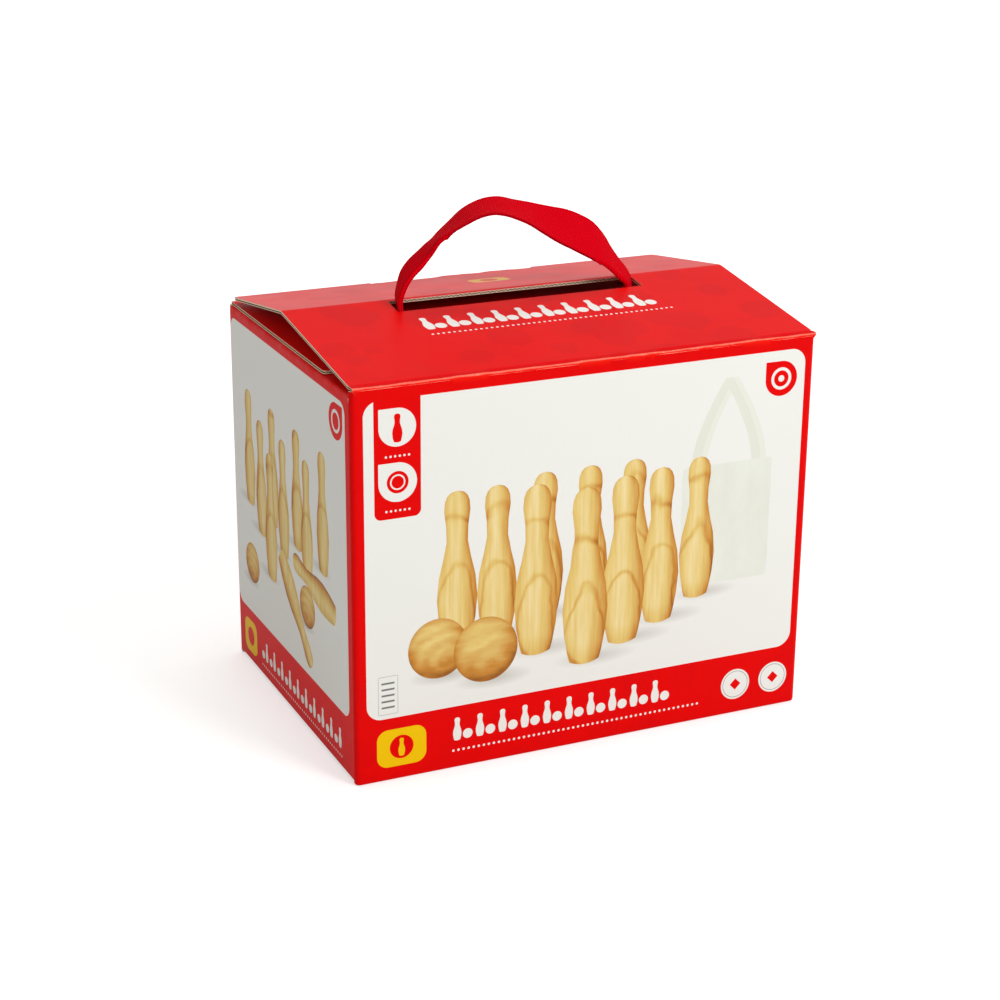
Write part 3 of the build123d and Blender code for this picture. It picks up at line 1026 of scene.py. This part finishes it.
def strap_place(column, row, level):
    column, row = round(column), round(row)
    x, z, turn, tuck = strap_rows[row]
    tuck = max(tuck, 0) * mm
    ahead, behind = strap_line[min(row + 1, len(strap_line) - 1)], strap_line[max(row - 1, 0)]
    forwards = (ahead - behind).normalized()
    wide = Quaternion(forwards, radians(turn)) @ Vector((0, 1, 0))
    out = forwards.cross(wide)
    side, lift, tilt = strap_section(column, tuck)
    rim = (tuck_radius + strap_thickness / 2) * min(tuck / full_tuck, 1)
    side += level * sin(tilt) - (tuck - rim) / 2
    lift -= level * cos(tilt)
    return strap_line[row] + wide * side + out * lift


def strap_map(point):
    column, row = round(point.x), round(point.y)
    tuck = max(strap_rows[row][3] * mm, least_tuck)
    return strap_across(column, tuck) + strap_half, strap_lengths[row]


bm = bmesh.new()
columns = tucked_steps + bend_strip_steps + flat_steps
paper(bm, range(columns + 1), range(len(strap_rows)), -strap_thickness / 2, strap_thickness / 2,
      coats=one_coat)
map_flat(bm, "weave", strap_map)
strap = piece("strap_webbing", bm, [webbing_weave("webbing")], "webbing", "lid_front", ["carry_strap"],
              strap_place, sharp=60)


def moulded(name, shade):
    made, place = begin(name)
    cloudy = noise(place, 0.35, 3)
    colour = mix(cloudy, shade, ink(120, 6, 14))
    return finish(made, colour, 0.42 + (cloudy - 0.5) * 0.15, noise(place, 2.0) * 0.02)


coat_solids(moulded("bar_plastic", ink(150, 10, 20)), "strap_bar_left", "strap_bar_right")


# ---- Pins and balls ----

def turned_wood(name, along):
    """Plain lacquered beech: growth lines along the grain, short flecks, a clear satin coat."""
    made, place = begin(name)
    warp = noise(place, 0.035, stretch=along)
    rings = ((noise(place, 0.022, 2, 0.45, along) * 26 + warp * 4) * pi).sine() * 0.5 + 0.5
    fine = noise(place, 0.9, 4, 0.65, tuple(share * 0.6 if share < 1 else 1.0 for share in along))
    flecks = noise(place, 1.6, 1, stretch=along).sloped(8, -5.0)
    shade = mix((rings * 0.50 + fine * 0.5 - 0.05).clamp(), wood_light, wood_mid)
    shade = mix((flecks * 0.30 + (warp - 0.5).highest(0) * 0.9).clamp(), shade, wood_dark)
    return finish(made, shade, 0.34 + (fine - 0.5) * 0.16, fine * 0.03 + rings * 0.01,
                  Coat_Weight=0.35, Coat_Roughness=0.12)


def turned(node, outline, steps, coat, slot):
    """Spins a half outline of (share of the radius, share of the height) where the node stands."""
    low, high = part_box(node)
    radius, height = (high.x - low.x) / 2, high.z - low.z
    middle = Vector(((low.x + high.x) / 2, (low.y + high.y) / 2, low.z))
    bm = bmesh.new()
    verts = [bm.verts.new(middle + Vector((share * radius, 0, rise * height))) for share, rise in outline]
    edges = [bm.edges.new(pair) for pair in zip(verts, verts[1:])]
    bmesh.ops.spin(bm, geom=verts + edges, cent=middle, axis=(0, 0, 1), angle=2 * pi, steps=steps,
                   use_merge=True)
    bmesh.ops.remove_doubles(bm, verts=bm.verts[:], dist=0.002 * mm)
    bmesh.ops.recalc_face_normals(bm, faces=bm.faces[:])
    return piece(f"turned_{node}", bm, [coat], slot, node, [node], sharp=50)


# The grain runs along the stretched axis, upright in the pins and sideways in the balls
pin_wood = turned_wood("pin_wood", (1.0, 1.0, 0.10))
ball_wood = turned_wood("ball_wood", (0.12, 1.0, 1.0))
pin_rows = smooth_rows([(share, rise) for rise, share in pin_outline], 3)
pin_rows = [(0.0, 0.0), (0.4, 0.0)] + [(max(share, 0), min(max(rise, 0), 1)) for share, rise in pin_rows]
for node in sorted(name for name in frame["nodes"] if name.startswith("pin_")):
    turned(node, pin_rows, 40, pin_wood, "pin_wood")
ball_steps = 32
ball_turns = even_lines(0, pi, ball_steps)
for node in ("ball_1", "ball_2"):
    turned(node, [(sin(turn), (1 - cos(turn)) / 2) for turn in ball_turns], 56, ball_wood, "ball_wood")


# ---- Bag ----

def cotton(name, pitch, light, dark):
    """Natural cotton in plain weave, with a few dark slubs."""
    made, place = begin(name)
    warp, weft = ((number * (pi / pitch)).sine() for number in laid_flat(place, "weave"))
    weave = (warp * weft) * 0.5 + 0.5
    slubs = noise(place, 0.8, 3, 0.6, (0.3, 1.0, 1.0)).sloped(6, -3.9)
    cloudy = noise(place, 0.06, 3)
    shade = mix((weave * 0.5 + (cloudy - 0.5) * 0.8 + 0.2).clamp(), dark, light)
    shade = mix(slubs * 0.35, shade, ink(196, 176, 138))
    crumple = noise(place, 0.05, 3, 0.55, (1.0, 1.0, 0.5))
    return finish(made, shade, 0.9, weave * 0.10 + crumple * 1.2 + slubs * 0.05, Sheen_Weight=0.15)


bag_low, bag_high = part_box("bag")
bag_half = bag_high.x - 0.2 * mm
cloth_thickness = 0.9 * mm
layers = 6
layer_pitch = (bag_high.y - bag_low.y - cloth_thickness) / (layers - 1)
turn_radius = layer_pitch / 2
layer_run = bag_high.z - bag_low.z - layer_pitch - cloth_thickness
turn_run = turn_radius * pi
first_layer = bag_low.y + cloth_thickness / 2
lowest_turn = bag_low.z + turn_radius + cloth_thickness / 2
pucker_height = 0.22 * mm
pucker_length = 19 * mm


def bag_place(x, distance, level):
    """Cloth folded to and fro in upright layers."""
    number = min(floor(distance / (layer_run + turn_run)), layers - 1)
    along = distance - number * (layer_run + turn_run)
    rising = number % 2 == 0
    turn = max(along - layer_run, 0) / turn_radius
    reach = turn_radius + (level if rising else -level)
    climbed = min(along, layer_run) + reach * sin(turn)
    height = climbed if rising else layer_run - climbed
    pucker = pucker_height * sin(x / pucker_length + number * 1.7) * sin(pi * min(along / layer_run, 1))
    y = first_layer + number * layer_pitch + turn_radius - reach * cos(turn)
    return Vector((x, y + pucker, lowest_turn + height))


bm = bmesh.new()
rows = []
for number in range(layers):
    start = number * (layer_run + turn_run)
    rows += even_lines(start, start + layer_run, 10)
    if number < layers - 1:
        rows += even_lines(start + layer_run, start + layer_run + turn_run, 6)[1:-1]
paper(bm, even_lines(-bag_half, bag_half, 40), rows, -cloth_thickness / 2, cloth_thickness / 2,
      coats=one_coat)
map_flat(bm, "weave")
bag_cotton = cotton("bag_cotton", 0.5, ink(236, 228, 208), ink(206, 194, 168))
tape_cotton = cotton("tape_cotton", 0.9, ink(230, 220, 198), ink(196, 182, 154))
bag = piece("bag_cloth", bm, [bag_cotton], "cotton", "bag", ["bag"], bag_place, sharp=70)

tape_width = 22 * mm
for name in ("front", "back"):
    low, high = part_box(f"bag_handle_{name}")
    left, right, top = low.x + tape_width, high.x - tape_width, low.z + tape_width
    columns = even_lines(low.x, left, 4) + even_lines(left, right, 8)[1:] + even_lines(right, high.x, 4)[1:]
    heights = even_lines(low.z, top, 4) + even_lines(top, high.z, 8)[1:]
    bm = bmesh.new()
    paper(bm, columns, heights, 0, high.y - low.y, [(left, right, top, high.z)], coats=one_coat)
    map_flat(bm, "weave")
    rims = [e for e in bm.edges if e.calc_face_angle(0) > radians(60)]
    bmesh.ops.bevel(bm, geom=rims, offset=0.4 * mm, segments=2, profile=0.5, affect="EDGES", material=-1)
    piece(f"handle_tape_{name}", bm, [tape_cotton], "cotton_tape", "bag", [f"bag_handle_{name}"],
                       lambda x, height, level, y=high.y: Vector((x, y - level, height)), sharp=60)


# ---- Floor, lights and camera ----

white = (1, 1, 1, 1)
floor_radius = 6.0
floor_shade = (0.66, 0.66, 0.66, 1)
floor_lift = 0.54                # glow of the floor for the camera, near the carton
floor_share = 0.3                # of that glow, in what a gloss mirrors
ambient = 0.52                   # light of the backdrop on the carton
ceiling = 0.3                    # share of the backdrop's white that a gloss mirrors from high up
lamp_aim = Vector((0, 0, 0.1))


def studio_floor():
    """Pale floor that keeps the shadow. For the camera it glows, more so far off, to meet the backdrop."""
    made, place = begin("studio_floor")
    rays = place.node("ShaderNodeLightPath", None, None, "Is Camera Ray")
    seen = rays.highest(rays.part("Is Transmission Ray")).highest(rays.part("Is Glossy Ray") * floor_share)
    away = length_of(*numbers(place, "XY")).sloped(0.5 * mm, -0.25)
    diffuse = place.node("ShaderNodeBsdfDiffuse", None, {"Color": floor_shade})
    glow = place.node("ShaderNodeEmission", None, {"Color": white, "Strength": seen * (away + floor_lift)})
    both = place.node("ShaderNodeAddShader", None, {0: diffuse, 1: glow})
    place.node("ShaderNodeOutputMaterial", None, {"Surface": both})
    return made


bm = bmesh.new()
bmesh.ops.create_circle(bm, cap_ends=True, segments=64, radius=floor_radius)
floor_mesh = bpy.data.meshes.new("studio_floor")
bm.to_mesh(floor_mesh)
bm.free()
floor_mesh.materials.append(studio_floor())
floor_object = bpy.data.objects.new("studio_floor", floor_mesh)
bpy.context.scene.collection.objects.link(floor_object)

# Backdrop: white where it is seen, dimmer high up in what a gloss mirrors, and a soft light for the rest
world = bpy.data.worlds.new("studio")
world.use_nodes = True
world.node_tree.nodes.clear()
sky = Wire(world.node_tree)
direction = sky.node("ShaderNodeTexCoord", None, None, "Generated")
overhead = numbers(direction, "Z")[0].sloped(4, -0.6)
rays = sky.node("ShaderNodeLightPath", None, None, "Is Camera Ray")
glossy = rays.part("Is Glossy Ray")
seen = rays.highest(glossy).highest(rays.part("Is Transmission Ray"))
shown = (1 - overhead * (1 - ceiling)) * glossy + (1 - glossy)
colour = mix(seen, (1, 0.98, 0.95, 1), white)
strength = seen * (shown - ambient) + ambient
light = sky.node("ShaderNodeBackground", None, {"Color": colour, "Strength": strength})
sky.node("ShaderNodeOutputWorld", None, {"Surface": light})
bpy.context.scene.world = world


def stand(name, data, place, turn):
    """A lamp or a camera on its stand."""
    made = bpy.data.objects.new(name, data)
    made.location = place
    made.rotation_mode = "QUATERNION"
    made.rotation_quaternion = turn
    bpy.context.scene.collection.objects.link(made)
    return made


def towards(direction):
    return direction.to_track_quat("-Z", "Y")


# Lamps: place, width in metres and power in watts
for name, place, width, power in (("front_softbox", (0.8, -1.8, 1.2), 0.7, 24.5),
                                  ("top_softbox", (0.3, 0.2, 2.0), 1.4, 11)):
    lamp = bpy.data.lights.new(name, "AREA")
    lamp.shape, lamp.size, lamp.size_y, lamp.energy = "RECTANGLE", width, width, power
    stand(name, lamp, place, towards(lamp_aim - Vector(place)))

camera_data = bpy.data.cameras.new("picture_camera")
camera_data.lens, camera_data.sensor_width = picture_lens, 36
picture_turn = towards(picture_aim - picture_eye) @ Quaternion((0, 0, 1), picture_roll)
bpy.context.scene.camera = stand("picture_camera", camera_data, picture_eye, picture_turn)
bpy.context.scene.view_settings.view_transform = "Standard"
